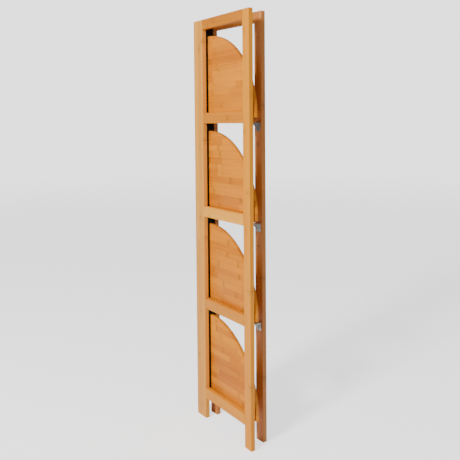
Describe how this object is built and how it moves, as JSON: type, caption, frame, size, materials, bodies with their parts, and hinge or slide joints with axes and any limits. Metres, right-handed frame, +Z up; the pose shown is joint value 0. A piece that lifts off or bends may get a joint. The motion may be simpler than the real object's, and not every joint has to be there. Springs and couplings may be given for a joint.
{
  "type": "folding ladder shelf",
  "caption": "tall narrow folding corner shelf: two bamboo ladder frames hinged along one side, with quarter-round shelf boards folded up between them",
  "frame": {"origin": "the middle of the floor outline of the folded shelf", "axes": "+Z up; +X along the front frame from its wide hinge post to its narrow post; +Y from the front frame back to the rear frame"},
  "size_m": [0.34, 0.0828, 1.4],
  "materials": {
    "front_wood": "satin clear-coated bamboo strip board",
    "rear_wood": "satin clear-coated bamboo strip board",
    "shelf_wood": "satin clear-coated bamboo strip board, a little redder",
    "batten_strip": "matt black moulded strip",
    "hinge_steel": "zinc-plated sheet steel",
    "pin_steel": "bright steel wire",
    "bracket_steel": "zinc-plated sheet steel"
  },
  "bodies": {
    "front_frame": {"front_hinge_post": "front_wood", "front_outer_post": "front_wood", "front_top_rail": "front_wood", "front_shelf_rail_1": "front_wood", "front_shelf_rail_2": "front_wood", "front_shelf_rail_3": "front_wood", "front_shelf_rail_4": "front_wood", "hinge_batten": "batten_strip", "shelf_1_hinge_a_rail_leaf": "hinge_steel", "shelf_1_hinge_a_pin": "pin_steel", "shelf_1_hinge_b_rail_leaf": "hinge_steel", "shelf_1_hinge_b_pin": "pin_steel", "shelf_2_hinge_a_rail_leaf": "hinge_steel", "shelf_2_hinge_a_pin": "pin_steel", "shelf_2_hinge_b_rail_leaf": "hinge_steel", "shelf_2_hinge_b_pin": "pin_steel", "shelf_3_hinge_a_rail_leaf": "hinge_steel", "shelf_3_hinge_a_pin": "pin_steel", "shelf_3_hinge_b_rail_leaf": "hinge_steel", "shelf_3_hinge_b_pin": "pin_steel", "shelf_4_hinge_a_rail_leaf": "hinge_steel", "shelf_4_hinge_a_pin": "pin_steel", "shelf_4_hinge_b_rail_leaf": "hinge_steel", "shelf_4_hinge_b_pin": "pin_steel", "frame_hinge_1_batten_leaf": "hinge_steel", "frame_hinge_1_pin": "pin_steel", "frame_hinge_2_batten_leaf": "hinge_steel", "frame_hinge_2_pin": "pin_steel", "frame_hinge_3_batten_leaf": "hinge_steel", "frame_hinge_3_pin": "pin_steel"},
    "rear_frame": {"rear_hinge_post": "rear_wood", "rear_outer_post": "rear_wood", "rear_top_rail": "rear_wood", "rear_shelf_rail_1": "rear_wood", "rear_shelf_rail_2": "rear_wood", "rear_shelf_rail_3": "rear_wood", "rear_shelf_rail_4": "rear_wood", "frame_hinge_1_frame_leaf": "hinge_steel", "shelf_bracket_1": "bracket_steel", "frame_hinge_2_frame_leaf": "hinge_steel", "shelf_bracket_2": "bracket_steel", "frame_hinge_3_frame_leaf": "hinge_steel", "shelf_bracket_3": "bracket_steel"},
    "shelf_1": {"shelf_board_1": "shelf_wood", "shelf_1_hinge_a_shelf_leaf": "hinge_steel", "shelf_1_hinge_b_shelf_leaf": "hinge_steel"},
    "shelf_2": {"shelf_board_2": "shelf_wood", "shelf_2_hinge_a_shelf_leaf": "hinge_steel", "shelf_2_hinge_b_shelf_leaf": "hinge_steel"},
    "shelf_3": {"shelf_board_3": "shelf_wood", "shelf_3_hinge_a_shelf_leaf": "hinge_steel", "shelf_3_hinge_b_shelf_leaf": "hinge_steel"},
    "shelf_4": {"shelf_board_4": "shelf_wood", "shelf_4_hinge_a_shelf_leaf": "hinge_steel", "shelf_4_hinge_b_shelf_leaf": "hinge_steel"}
  },
  "joints": [
    {"name": "frame_swing", "type": "hinge", "parent": "front_frame", "child": "rear_frame", "pos_m": [-0.1248, 0.0017, 0.7], "axis": [0, 0, 1], "range_deg": [0, 85.5]},
    {"name": "shelf_1_fold", "type": "hinge", "parent": "front_frame", "child": "shelf_1", "pos_m": [0.03, -0.0226, 1.063], "axis": [-1, 0, 0], "range_deg": [0, 90]},
    {"name": "shelf_2_fold", "type": "hinge", "parent": "front_frame", "child": "shelf_2", "pos_m": [0.03, -0.0226, 0.739], "axis": [-1, 0, 0], "range_deg": [0, 90]},
    {"name": "shelf_3_fold", "type": "hinge", "parent": "front_frame", "child": "shelf_3", "pos_m": [0.03, -0.0226, 0.415], "axis": [-1, 0, 0], "range_deg": [0, 90]},
    {"name": "shelf_4_fold", "type": "hinge", "parent": "front_frame", "child": "shelf_4", "pos_m": [0.03, -0.0226, 0.091], "axis": [-1, 0, 0], "range_deg": [0, 90]}
  ],
  "couplings": [
    {"joint": "shelf_1_fold", "follows": "frame_swing", "ratio": 0.74},
    {"joint": "shelf_2_fold", "follows": "frame_swing", "ratio": 0.74},
    {"joint": "shelf_3_fold", "follows": "frame_swing", "ratio": 0.74},
    {"joint": "shelf_4_fold", "follows": "frame_swing", "ratio": 0.74}
  ]
}
